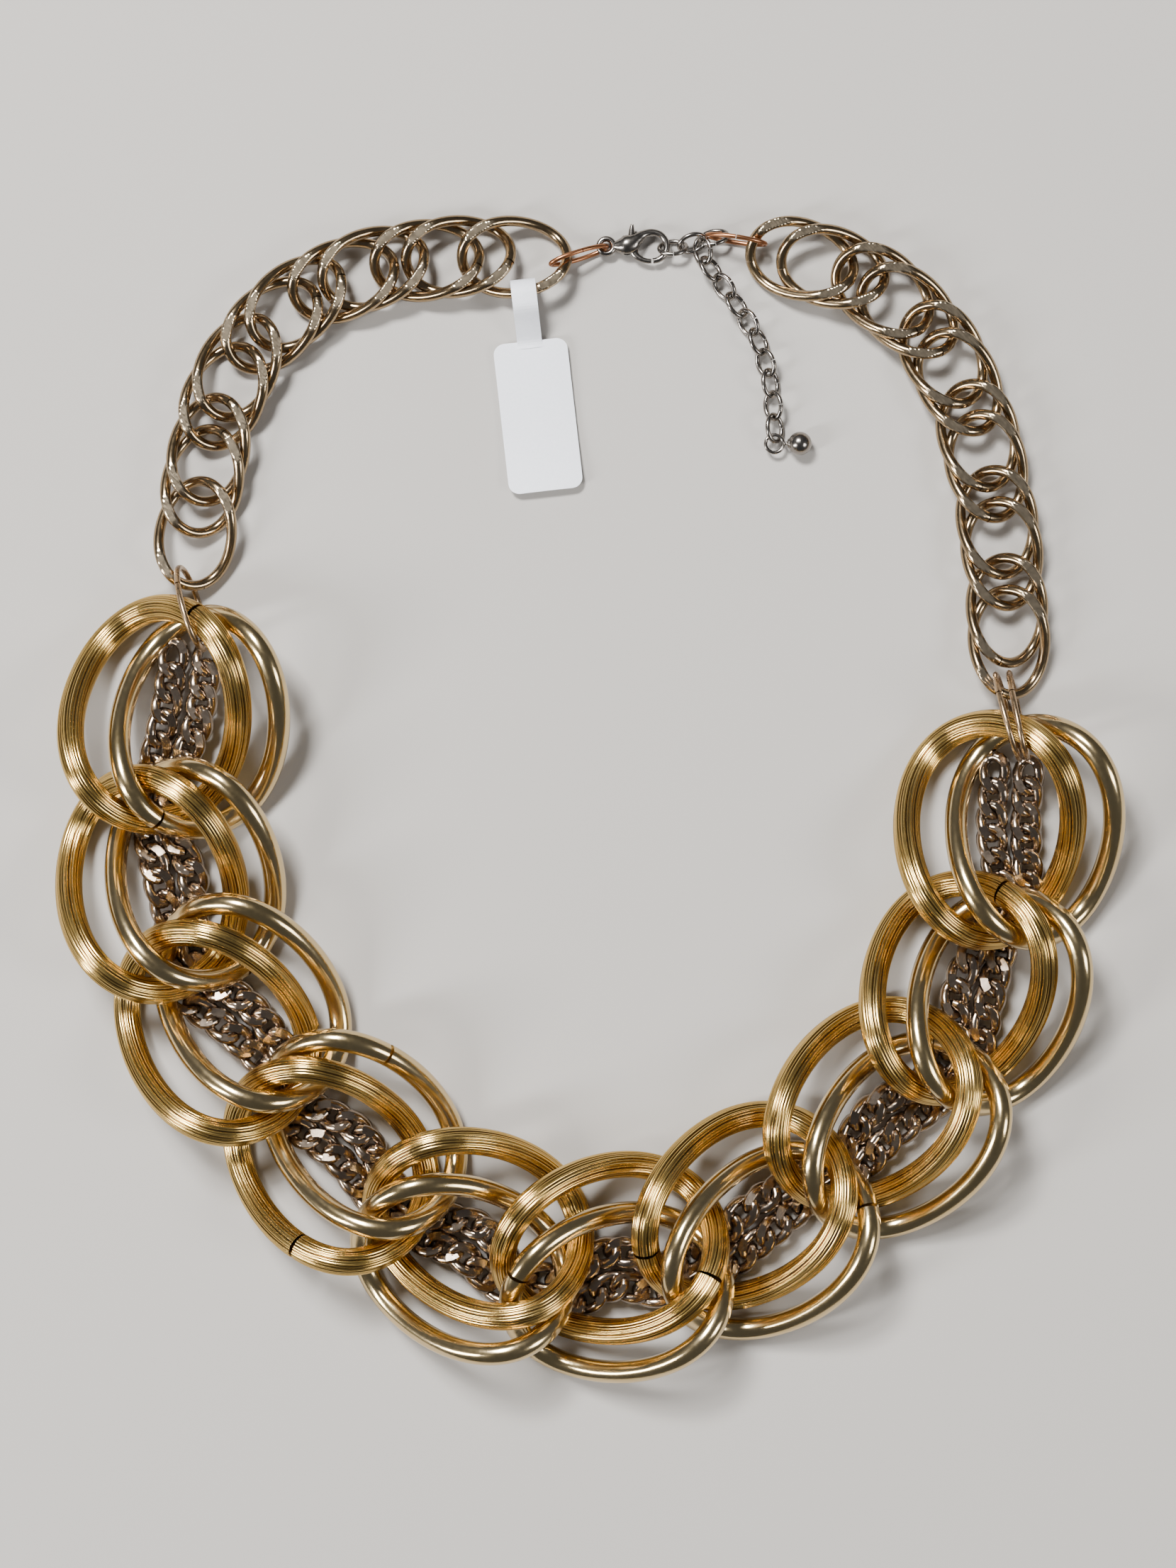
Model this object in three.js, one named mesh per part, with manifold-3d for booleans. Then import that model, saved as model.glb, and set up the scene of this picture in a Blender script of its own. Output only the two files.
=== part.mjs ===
// A gold-toned chain necklace laid out as a closed loop on a table.
// The front is ten large curb links, each a pair of twisted oval rings: one of ribbed wire and one of
// plain wire. Two flat curb strands are threaded through them. Each end of the front hangs on thin
// jump rings from a lighter doubled curb chain, which closes behind the neck with a lobster clasp and
// a cable-chain extender. A blank paper price tag is looped over the link beside the clasp.
// Millimetres, +X to the right of the loop, +Y towards the clasp, +Z up from the table.
import * as THREE from "three";
import { mergeVertices } from "three/addons/utils/BufferGeometryUtils.js";
import Module from "manifold-3d";

const wasm = await Module();
wasm.setup();

// ---- driving dimensions ----
const tableGap = 0.5; // play kept between neighbouring pieces of metal

const bigWire = 4.4; // ribbed wire of the large links
const smoothWire = 3.6; // plain wire of the large links
const bigHalfLength = 18; // all ring half sizes are of the wire's centre line
const bigHalfWidth = 13.9;
const smoothHalfWidth = 13.2;
const bigTwist = 5.8; // how far the flanks rise and dip to pass over the next link
const pairSpread = 7.4; // sideways step from the ribbed ring to the plain one

const strandRadius = 1.1; // tight bundle of the threaded curb strands
const strandDrift = 1.5; // how far the strands shift sideways as they pass a link's end

const backWire = 1.8;
const backHalfLength = 8.9;
const backHalfWidth = 6.1;
const backTwist = 1.95;
const backStep = 5.4; // step along the chain between the two rings of a doubled pair
const pairSag = 0.45; // the second ring drops until it rests on the first

const jumpWire = 1;
const fineWire = 0.8; // the copper rings at the clasp and the extender
const extenderWire = 0.8;
const extenderHalfLength = 2.3;
const extenderHalfWidth = 1.75;
const ballRadius = 2;

const claspThickness = 3.2;
const tagThickness = 0.4;

// ---- heights above the table ----
const standOff = 0.2;
const bigHeight = bigTwist + bigWire / 2 + standOff;
const backHeight = backTwist + backWire / 2 + standOff + pairSag;

// ---- places of the links on the table: centre x, y and the direction of travel in degrees ----
const bigPlaces = [
  { x: -69, y: 15, heading: -100, side: 1 },
  { x: -70, y: -12, heading: -77, side: 1 },
  { x: -60, y: -35, heading: -52, side: 1 },
  { x: -41, y: -57, heading: -46, side: 1 },
  { x: -20, y: -73.5, heading: -22, side: -1 },
  { x: 4, y: -78, heading: 8, side: -1 },
  { x: 28, y: -70.5, heading: 35, side: -1 },
  { x: 50, y: -53, heading: 48, side: -1 },
  { x: 65, y: -31.5, heading: 71, side: -1 },
  { x: 71, y: -4, heading: 89, side: -1 },
];
const rightPlaces = [
  { x: 70.8, y: 30.6, heading: 93, rings: 2 },
  { x: 69.4, y: 45.5, heading: 98, rings: 2 },
  { x: 66.5, y: 60.2, heading: 104, rings: 2 },
  { x: 61.2, y: 74.1, heading: 118, rings: 2 },
  { x: 51.8, y: 85.4, heading: 141, rings: 2 },
  { x: 38.6, y: 91.9, heading: 165, rings: 2 },
];
const leftPlaces = [
  { x: -66.5, y: 46.3, heading: -98, rings: 1 },
  { x: -64.8, y: 57.8, heading: -102, rings: 2 },
  { x: -60.5, y: 72, heading: -116, rings: 2 },
  { x: -51.5, y: 83.5, heading: -138, rings: 2 },
  { x: -39, y: 90.2, heading: -160, rings: 2 },
  { x: -24.8, y: 92.8, heading: -174, rings: 2 },
  { x: -12.5, y: 93, heading: 180, rings: 1 },
];

const DEG = Math.PI / 180;

// ---- materials ----
const metal = (color, roughness) => new THREE.MeshStandardMaterial({ color, roughness, metalness: 1 });
const ribbedGold = () => metal(0xd9a441, 0.32);
const smoothGold = () => metal(0xd8b878, 0.22);
const strandGold = () => metal(0x9a7b55, 0.3);
const backGold = () => metal(0xb8946a, 0.28);
const copper = () => metal(0xa8643c, 0.4);
const silver = () => metal(0x9c948c, 0.3);
const paper = () => new THREE.MeshStandardMaterial({ color: 0xf1f1f4, roughness: 0.8, metalness: 0 });

// ---- curves ----
// A curb ring: an oval whose flanks rise and dip, so that it lies over one neighbour and under the
// other. The wire stops a little short of closing at the butt seam, as a bent jump ring does.
class CurbRing extends THREE.Curve {
  constructor({ halfLength, halfWidth, twist, seamTurn = 0, seamGap = 0.5 }) {
    super();
    Object.assign(this, { halfLength, halfWidth, twist, seamTurn });
    this.seamAngle = seamGap / (halfLength + halfWidth);
  }

  getPoint(share, target = new THREE.Vector3()) {
    const open = this.seamAngle;
    const turn = this.seamTurn + open + share * (2 * Math.PI - 2 * open);
    return target.set(
      this.halfLength * Math.cos(turn),
      this.halfWidth * Math.sin(turn),
      -this.twist * Math.sin(2 * turn),
    );
  }
}

// ---- solids ----
function round(radius, sides) {
  const shape = new THREE.Shape();
  for (let i = 0; i < sides; i += 1) {
    const turn = (2 * Math.PI * i) / sides;
    const point = [radius * Math.cos(turn), radius * Math.sin(turn)];
    if (i === 0) shape.moveTo(...point);
    else shape.lineTo(...point);
  }
  shape.closePath();
  return shape;
}

function wireAlong(path, radius, sides, steps) {
  return new THREE.ExtrudeGeometry(round(radius, sides), { extrudePath: path, steps, bevelEnabled: false });
}

function plate(shape, thickness) {
  const geometry = new THREE.ExtrudeGeometry(shape, { depth: thickness, bevelEnabled: false });
  return geometry.translate(0, 0, -thickness / 2);
}

function toSolid(geometry) {
  const bare = geometry.clone();
  bare.deleteAttribute("normal");
  bare.deleteAttribute("uv");
  const merged = mergeVertices(bare, 1e-4);
  return new wasm.Manifold(
    new wasm.Mesh({
      numProp: 3,
      vertProperties: merged.attributes.position.array,
      triVerts: new Uint32Array(merged.index.array),
    }),
  );
}

function toGeometry(solid) {
  const mesh = solid.getMesh();
  const geometry = new THREE.BufferGeometry();
  geometry.setAttribute("position", new THREE.BufferAttribute(mesh.vertProperties, 3));
  geometry.setIndex(new THREE.BufferAttribute(mesh.triVerts, 1));
  return geometry;
}

function joined(geometries) {
  let solid = toSolid(geometries[0]);
  for (const geometry of geometries.slice(1)) solid = solid.add(toSolid(geometry));
  return toGeometry(solid);
}

const necklace = new THREE.Group();

function addPiece(name, geometry, material, parent = necklace) {
  const piece = new THREE.Mesh(geometry, material);
  piece.name = name;
  parent.add(piece);
  return piece;
}

function placed(place, height) {
  const group = new THREE.Group();
  group.position.set(place.x, place.y, height);
  group.rotation.z = place.heading * DEG;
  necklace.add(group);
  group.updateMatrixWorld(true);
  return group;
}

const twoDigits = (index) => String(index + 1).padStart(2, "0");

// ---- the ten large links ----
const bigSides = 6;
const bigSteps = 24;
const seamTurns = [200, 160, 120, 250, 150, 210, 20, 330, 190, 340];

const bigLinks = bigPlaces.map((place, index) => {
  const link = placed(place, bigHeight);
  const number = twoDigits(index);
  const ribbedPath = new CurbRing({
    halfLength: bigHalfLength,
    halfWidth: bigHalfWidth,
    twist: bigTwist,
    seamTurn: seamTurns[index] * DEG,
  });
  const ribbed = addPiece(
    `link_${number}_ribbed_ring`,
    wireAlong(ribbedPath, bigWire / 2, bigSides, bigSteps),
    ribbedGold(),
    link,
  );
  ribbed.position.y = (-place.side * pairSpread) / 2;
  const smoothPath = new CurbRing({
    halfLength: bigHalfLength,
    halfWidth: smoothHalfWidth,
    twist: bigTwist,
    seamTurn: (seamTurns[index] + 180) * DEG,
  });
  const smooth = addPiece(
    `link_${number}_smooth_ring`,
    wireAlong(smoothPath, smoothWire / 2, bigSides, bigSteps),
    smoothGold(),
    link,
  );
  smooth.position.y = (place.side * pairSpread) / 2;
  return link;
});

// ---- the curb strands threaded through them ----
// One bundle for each link, as the strands pass under its neighbours' ends and rise in its window.
const ringSlope = Math.atan((2 * bigTwist) / bigHalfWidth);
const endDip = bigTwist * 0.34;
const strandDepth = endDip + (bigWire / 2 + tableGap + strandRadius) / Math.cos(ringSlope);
const windowDepth = strandDepth * 0.7;
const strandReach = 9; // how far the first and last stretches go towards the jump rings
const bundleGap = 0.12; // share of the joint left open between two bundles

const underEnd = (link, end) =>
  link.localToWorld(new THREE.Vector3(end * bigHalfLength, -end * strandDrift, -strandDepth));
const inWindow = (link, along) => link.localToWorld(new THREE.Vector3(along, 0, -windowDepth));

// The stretch beside one neighbour: from just short of the joint to that neighbour's nearer end.
function strandJoint(link, neighbour, end) {
  const crossing = underEnd(neighbour, -end);
  const joint = crossing.clone().lerp(underEnd(link, end), 0.5);
  return [joint.lerp(crossing, bundleGap), crossing];
}

bigLinks.forEach((link, index) => {
  const sides = 6;
  const steps = 9;
  const before = bigLinks[index - 1];
  const after = bigLinks[index + 1];
  const start = before ? strandJoint(link, before, -1) : [inWindow(link, -strandReach)];
  const finish = after ? strandJoint(link, after, 1).reverse() : [inWindow(link, strandReach)];
  const path = new THREE.CatmullRomCurve3([...start, inWindow(link, 0), ...finish]);
  addPiece(`link_${twoDigits(index)}_strands`, wireAlong(path, strandRadius, sides, steps), strandGold());
});

// ---- the doubled curb chain on each side ----
function backLink(name, place) {
  const link = placed(place, backHeight);
  const sides = 5;
  const steps = 15;
  const offsets = place.rings === 2 ? [-backStep / 2, backStep / 2] : [0];
  const rings = offsets.map((offset, ring) => {
    const path = new CurbRing({
      halfLength: backHalfLength,
      halfWidth: backHalfWidth,
      twist: backTwist,
      seamTurn: ring * 180 * DEG,
    });
    return wireAlong(path, backWire / 2, sides, steps).translate(offset, 0, -ring * pairSag);
  });
  addPiece(name, rings.length === 1 ? rings[0] : joined(rings), backGold(), link);
  return link;
}

rightPlaces.forEach((place, index) => backLink(`right_chain_${twoDigits(index)}`, place));
leftPlaces.forEach((place, index) => backLink(`left_chain_${twoDigits(index)}`, place));

// ---- jump rings ----
// An oval ring standing on edge: pitch leans its far end down along the heading, roll lays it over.
function standingRing(name, { x, y, z, heading, pitch, roll, halfLength, halfWidth, wire, material }) {
  const path = new CurbRing({ halfLength, halfWidth, twist: 0, seamTurn: 90 * DEG, seamGap: 0.35 });
  const sides = 6;
  const steps = 14;
  const ring = addPiece(name, wireAlong(path, wire / 2, sides, steps), material);
  ring.position.set(x, y, z);
  ring.rotation.set((90 + roll) * DEG, pitch * DEG, heading * DEG, "ZYX");
}

standingRing("left_jump_ring", {
  x: -66.8,
  y: 33.4,
  z: 7.9,
  heading: 103,
  pitch: 43,
  roll: -9,
  halfLength: 8.2,
  halfWidth: 6.1,
  wire: jumpWire,
  material: backGold(),
});
standingRing("right_jump_ring_a", {
  x: 70.3,
  y: 15.2,
  z: 7.8,
  heading: 98,
  pitch: 41,
  roll: -13,
  halfLength: 8.1,
  halfWidth: 6.4,
  wire: jumpWire,
  material: backGold(),
});
standingRing("right_jump_ring_b", {
  x: 72,
  y: 15.4,
  z: 8,
  heading: 94,
  pitch: 45,
  roll: -12,
  halfLength: 8.6,
  halfWidth: 5.8,
  wire: jumpWire,
  material: backGold(),
});
standingRing("extender_ring", {
  x: 24.9,
  y: 96,
  z: 3.5,
  heading: 171,
  pitch: 3,
  roll: 1,
  halfLength: 5,
  halfWidth: 2.9,
  wire: fineWire,
  material: copper(),
});
standingRing("clasp_ring", {
  x: -1.8,
  y: 93.4,
  z: 3.1,
  heading: 19,
  pitch: 19,
  roll: -10,
  halfLength: 5.3,
  halfWidth: 2.1,
  wire: fineWire,
  material: copper(),
});

// ---- the lobster clasp: eye, swelling body and hook in one casting, with a sprung lever ----
const clasp = new THREE.Group();
clasp.position.set(2.9, 95.1, claspThickness / 2 + standOff);
necklace.add(clasp);

const eyeRadius = 1.25;
const hookWire = 1.1;
const bodyCentre = 4.1;
const bodyRadii = [2.8, 2.2];
const pivot = new THREE.Vector2(4.6, 0.2);
const leverThickness = 0.7;
const rivetRadius = 0.35;
const fit = 0.3; // clearance between the clasp's own parts

function disc(radius, thickness) {
  return new THREE.CylinderGeometry(radius, radius, thickness, 14).rotateX(90 * DEG);
}

function flat(points, thickness) {
  return plate(new THREE.Shape(points.map(([x, y]) => new THREE.Vector2(x, y))), thickness);
}

const claspEye = new THREE.TorusGeometry(eyeRadius, 0.5, 8, 14);
const claspSwell = new THREE.SphereGeometry(1, 14, 10)
  .scale(...bodyRadii, claspThickness / 2)
  .translate(bodyCentre, 0, 0);
const hookPath = new THREE.CatmullRomCurve3(
  [
    [5.4, 1.2],
    [7.2, 2.3],
    [9, 2.1],
    [10.2, 0],
    [9.4, -1.9],
    [7.9, -2.4],
  ].map(([x, y]) => new THREE.Vector3(x, y, 0)),
);
const claspHook = wireAlong(hookPath, hookWire / 2, 8, 14);
const slotDepth = leverThickness + 2 * fit;
const slotEnd = 7.6;
const leverSlot = flat(
  [
    [3.3, 2.6],
    [3.3, -2.6],
    [slotEnd, -2.6],
    [slotEnd, -0.5],
    [5.2, 0.9],
    [5, 2.6],
  ],
  slotDepth,
);
const pivotHole = disc(rivetRadius + fit, claspThickness * 2).translate(pivot.x, pivot.y, 0);
const claspBody = toSolid(claspEye)
  .add(toSolid(claspSwell))
  .add(toSolid(claspHook))
  .subtract(toSolid(leverSlot))
  .subtract(toSolid(pivotHole));
addPiece("clasp_body", toGeometry(claspBody), silver(), clasp);

const leverOutline = flat(
  [
    [3.7, 3.6],
    [3.7, -0.5],
    [4.9, -1.9],
    [7.2, -2.7],
    [7.2, -2.1],
    [5.6, -1],
    [5.1, 0.6],
    [4.3, 1.8],
    [4.3, 3.6],
  ],
  leverThickness,
);
const leverHole = disc(rivetRadius + fit, claspThickness).translate(pivot.x, pivot.y, 0);
addPiece("clasp_lever", toGeometry(toSolid(leverOutline).subtract(toSolid(leverHole))), silver(), clasp);
addPiece("clasp_rivet", disc(rivetRadius, 2.6).translate(pivot.x, pivot.y, 0), silver(), clasp);

// ---- the extender: a fine cable chain whose links lean alternately left and right ----
const linkPitch = 2 * extenderHalfLength - extenderWire * 0.9; // links rest on one another
const freePitch = 2 * extenderHalfLength - extenderWire - 1.6 * fit; // two links that move apart
const extenderHeight = (extenderHalfWidth + extenderWire / 2) * Math.SQRT1_2 + 0.3;

function cableLink(place, lean) {
  const path = new CurbRing({
    halfLength: extenderHalfLength,
    halfWidth: extenderHalfWidth,
    twist: 0,
    seamTurn: 90 * DEG,
    seamGap: 0.35,
  });
  const geometry = wireAlong(path, extenderWire / 2, 5, 9);
  geometry.rotateX(lean * 45 * DEG);
  geometry.rotateZ(place.heading * DEG);
  return geometry.translate(place.x, place.y, extenderHeight);
}

function addCable(name, places, firstLean) {
  const links = places.map((place, index) => cableLink(place, index % 2 === 0 ? firstLean : -firstLean));
  addPiece(name, links.length === 1 ? links[0] : joined(links), silver());
}

// Links one after another from a start point, each with its own heading.
function laid(x, y, headings) {
  let [atX, atY] = [x, y];
  return headings.map((heading, index) => {
    const reach = index === 0 ? 0 : linkPitch / 2;
    const before = headings[Math.max(0, index - 1)];
    atX += reach * (Math.cos(before * DEG) + Math.cos(heading * DEG));
    atY += reach * (Math.sin(before * DEG) + Math.sin(heading * DEG));
    return { x: atX, y: atY, heading };
  });
}

function next(places, heading) {
  const last = places[places.length - 1];
  const reach = freePitch / 2;
  return [
    last.x + reach * (Math.cos(last.heading * DEG) + Math.cos(heading * DEG)),
    last.y + reach * (Math.sin(last.heading * DEG) + Math.sin(heading * DEG)),
  ];
}

const upper = laid(21.2, 96.6, [192, 198]);
const tailStart = { x: 19.3, y: 94.3, heading: -80 };
addCable("extender_upper", [...upper, tailStart], 1);
const tailA = laid(...next([tailStart], -58), [-58, -52, -55]);
addCable("extender_tail_a", tailA, -1);
const tailB = laid(...next(tailA, -60), [-60, -66, -72]);
addCable("extender_tail_b", tailB, 1);
const tailC = laid(...next(tailB, -80), [-80, -86, -88]);
addCable("extender_tail_c", tailC, -1);

// ---- the ball that ends the extender, with its eye ----
const eyeTube = 0.3;
const eyeHalf = 1.5;
const eyeSlack = 0.25; // keeps the ball's eye clear of the last link's wire
const eyeLift = 0.1;
const lastLink = tailC[tailC.length - 1];
const eyeX = lastLink.x;
const eyeY = lastLink.y - extenderHalfLength + extenderWire / 2 + eyeTube + fit - eyeHalf + eyeSlack;
const eyeHeight = extenderHeight + eyeLift;
const ballEye = new THREE.TorusGeometry(eyeHalf, eyeTube, 6, 12).translate(eyeX, eyeY, eyeHeight);
const ballStem = new THREE.CylinderGeometry(0.4, 0.4, 1.4, 8)
  .rotateZ(90 * DEG)
  .translate(eyeX + 2, eyeY, eyeHeight);
const ball = new THREE.SphereGeometry(ballRadius, 16, 10);
ball.translate(eyeX + 4.3, eyeY, ballRadius + standOff + eyeLift);
addPiece("extender_ball", joined([ballEye, ballStem, ball]), silver());

// ---- the paper price tag looped over the last link before the clasp ----
const tag = new THREE.Group();
tag.position.set(-8.7, 66.4, 0);
tag.rotation.z = 6.5 * DEG;
necklace.add(tag);

const tagWidth = 12.6;
const tagLength = 25.6;
const tagCorner = 1.8;
const tagHeight = 0.7;
const neckWidth = 4.2;

function roundedPlate(width, length, corner) {
  const [w, h] = [width / 2, length / 2];
  const shape = new THREE.Shape();
  shape.moveTo(-w + corner, -h);
  shape.lineTo(w - corner, -h);
  shape.absarc(w - corner, -h + corner, corner, -Math.PI / 2, 0);
  shape.lineTo(w, h - corner);
  shape.absarc(w - corner, h - corner, corner, 0, Math.PI / 2);
  shape.lineTo(-w + corner, h);
  shape.absarc(-w + corner, h - corner, corner, Math.PI / 2, Math.PI);
  shape.lineTo(-w, -h + corner);
  shape.absarc(-w + corner, -h + corner, corner, Math.PI, 1.5 * Math.PI);
  return shape;
}

// The neck seen from its side: up over the wire, down behind it and back under to the tag.
const wireAbove = backHeight + backTwist * 0.75 + backWire / 2 + fit;
const neckFoot = tagHeight - tagThickness / 2;
const neckRoot = tagLength / 2 - 2;
const neckOuter = [
  [neckRoot, neckFoot],
  [neckRoot, neckFoot + tagThickness],
  [18, wireAbove + tagThickness],
  [21.6, wireAbove + tagThickness],
  [22.7, wireAbove - 0.8],
  [22.7, neckFoot + tagThickness],
  [21.7, neckFoot],
];
const neckInner = [
  [neckRoot + 2.6, neckFoot + tagThickness],
  [18.3, wireAbove],
  [21.4, wireAbove],
  [22.3, wireAbove - 1],
  [22.3, neckFoot + 1.3 * tagThickness],
  [21.9, neckFoot + tagThickness],
];
const standing = (geometry) => geometry.rotateX(90 * DEG).rotateZ(90 * DEG);
const neckSolid = toSolid(standing(flat(neckOuter, neckWidth)));
const neckWindow = toSolid(standing(flat(neckInner, 2 * neckWidth)));
const tagNeck = toGeometry(neckSolid.subtract(neckWindow));
const tagFace = plate(roundedPlate(tagWidth, tagLength, tagCorner), tagThickness);
tagFace.translate(0, 0, tagHeight);
addPiece("price_tag", joined([tagFace, tagNeck]), paper(), tag);

// ---- the origin: on the table, under the middle of the whole necklace ----
necklace.updateMatrixWorld(true);
const extent = new THREE.Box3().setFromObject(necklace, true);
const middle = extent.getCenter(new THREE.Vector3());
const base = new THREE.Vector3(middle.x, middle.y, extent.min.z);
for (const piece of necklace.children) piece.position.sub(base);

export default necklace;
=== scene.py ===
import math

import bmesh
import bpy
import numpy as np
from mathutils import Matrix, Vector


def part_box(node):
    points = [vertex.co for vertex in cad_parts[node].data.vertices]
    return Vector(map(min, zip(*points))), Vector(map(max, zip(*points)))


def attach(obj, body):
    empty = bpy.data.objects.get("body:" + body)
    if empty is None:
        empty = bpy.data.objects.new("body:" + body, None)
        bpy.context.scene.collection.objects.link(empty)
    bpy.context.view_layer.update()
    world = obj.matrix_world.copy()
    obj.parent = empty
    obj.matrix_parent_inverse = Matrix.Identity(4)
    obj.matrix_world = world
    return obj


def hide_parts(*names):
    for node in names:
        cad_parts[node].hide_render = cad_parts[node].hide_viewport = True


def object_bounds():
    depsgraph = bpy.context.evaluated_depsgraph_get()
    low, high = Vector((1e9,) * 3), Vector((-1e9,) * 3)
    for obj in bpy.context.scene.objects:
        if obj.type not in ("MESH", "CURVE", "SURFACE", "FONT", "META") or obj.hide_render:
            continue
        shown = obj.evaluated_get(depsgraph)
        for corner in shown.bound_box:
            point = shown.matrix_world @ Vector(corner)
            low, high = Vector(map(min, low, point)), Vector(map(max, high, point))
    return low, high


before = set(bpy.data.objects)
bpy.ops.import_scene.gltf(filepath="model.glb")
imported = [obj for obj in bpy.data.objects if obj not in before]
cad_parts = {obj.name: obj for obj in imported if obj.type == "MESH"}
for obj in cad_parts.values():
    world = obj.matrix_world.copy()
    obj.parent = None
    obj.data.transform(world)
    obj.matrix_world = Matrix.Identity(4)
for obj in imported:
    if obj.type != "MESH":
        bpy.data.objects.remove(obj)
cad_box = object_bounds()
MM = 0.001

# ---- the view: straight down on the table from about arm's length ----
view_centre = Vector((-0.0001, 0.0022, 0.004))
view_height = 0.265
camera_distance = 0.62
camera_data = bpy.data.cameras.new("top_camera")
camera_data.sensor_width = 36
camera_data.lens = camera_data.sensor_width * camera_distance / view_height
camera = bpy.data.objects.new("top_camera", camera_data)
camera.location = view_centre + Vector((0, 0, camera_distance))
bpy.context.scene.collection.objects.link(camera)
bpy.context.scene.camera = camera

# ---- the table top and the studio light ----
# A plain pale board lies under the necklace. A soft light stands above the clasp end, a narrow one
# at the left makes the glints, a weak one fills from the right, and a soft sun evens out the board.
table_material = bpy.data.materials.new("pale_board")
table_material.use_nodes = True
board = table_material.node_tree.nodes["Principled BSDF"]
board.inputs["Base Color"].default_value = (0.44, 0.415, 0.385, 1)
board.inputs["Roughness"].default_value = 0.75
table_mesh = bpy.data.meshes.new("table_top")
table_reach = 3
table_gap = 0.0001
table_corners = [(x * table_reach, y * table_reach, 0) for x, y in ((-1, -1), (1, -1), (1, 1), (-1, 1))]
table_mesh.from_pydata(table_corners, [], [(0, 1, 2, 3)])
table_top = bpy.data.objects.new("table_top", table_mesh)
table_mesh.materials.append(table_material)
bpy.context.scene.collection.objects.link(table_top)
table_top.location.z = cad_box[0].z - table_gap


def soft_light(name, place, size, power):
    lamp = bpy.data.lights.new(name, "AREA")
    lamp.shape = "RECTANGLE"
    lamp.size, lamp.size_y = size
    lamp.energy = power
    holder = bpy.data.objects.new(name, lamp)
    holder.location = place
    holder.rotation_mode = "QUATERNION"
    holder.rotation_quaternion = (-Vector(place)).to_track_quat("-Z", "Y")
    bpy.context.scene.collection.objects.link(holder)


soft_light("key_light", place=(-0.3, 0.5, 0.8), size=(0.26, 0.14), power=13)
soft_light("glint_light", place=(-0.7, -0.25, 0.5), size=(0.1, 0.4), power=8)
soft_light("fill_light", place=(0.7, -0.2, 0.6), size=(0.3, 0.3), power=4)
wash_data = bpy.data.lights.new("even_wash", "SUN")
wash_data.energy = 2.4
wash_data.angle = math.radians(12)
wash = bpy.data.objects.new("even_wash", wash_data)
wash_direction = Vector((-0.3, 0.5, 1))
wash.rotation_euler = wash_direction.to_track_quat("Z", "Y").to_euler()
bpy.context.scene.collection.objects.link(wash)
sky = bpy.data.worlds.new("studio_air")
sky.use_nodes = True
air = sky.node_tree.nodes["Background"]
air.inputs["Color"].default_value = (0.92, 0.95, 1, 1)
air.inputs["Strength"].default_value = 0.1
bpy.context.scene.world = sky


# ---- the ribbed rings of the ten big links ----
# Each is a length of round brass wire drawn with fine lengthwise ribs, bent into a curb-twisted
# oval and plated warm yellow gold. Its two ends meet at a butt seam.
def add_nodes(tree, **kinds):
    return {name: tree.nodes.new(kind) for name, kind in kinds.items()}


def math_node(tree, operation, *values):
    node = tree.nodes.new("ShaderNodeMath")
    node.operation = operation
    for socket, value in zip(node.inputs, values):
        if isinstance(value, (int, float)):
            socket.default_value = value
        else:
            tree.links.new(value, socket)
    return node.outputs[0]


def named_inputs(tree, numbers):
    tree.interface.new_socket("Geometry", in_out="INPUT", socket_type="NodeSocketGeometry")
    for name, (kind, value) in numbers.items():
        socket = tree.interface.new_socket(name, in_out="INPUT", socket_type=kind)
        if value is not None:
            socket.default_value = value
    tree.interface.new_socket("Geometry", in_out="OUTPUT", socket_type="NodeSocketGeometry")


rib_wave = 0.75  # share of the rib depth that is a regular wave
rib_wander = 0.45  # share that makes some ribs deeper than others
rib_wander_rate = 0.37  # how often the wander comes round, against the ribs
wholly_ground = 0.99  # above this share a face counts as cut flat and is shaded crisp
ring_inputs = {
    "Half Length": ("NodeSocketFloat", 0.018),
    "Half Width": ("NodeSocketFloat", 0.014),
    "Twist": ("NodeSocketFloat", 0.006),
    "Wire Radius": ("NodeSocketFloat", 0.002),
    "Rib Count": ("NodeSocketFloat", 0.0),
    "Rib Depth": ("NodeSocketFloat", 0.0),
    "Flat Height": ("NodeSocketFloat", 1.0),
    "Seam Turn": ("NodeSocketFloat", 0.0),
    "Seam Share": ("NodeSocketFloat", 0.004),
    "Steps": ("NodeSocketInt", 96),
    "Sides": ("NodeSocketInt", 16),
    "Material": ("NodeSocketMaterial", None),
}


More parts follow.
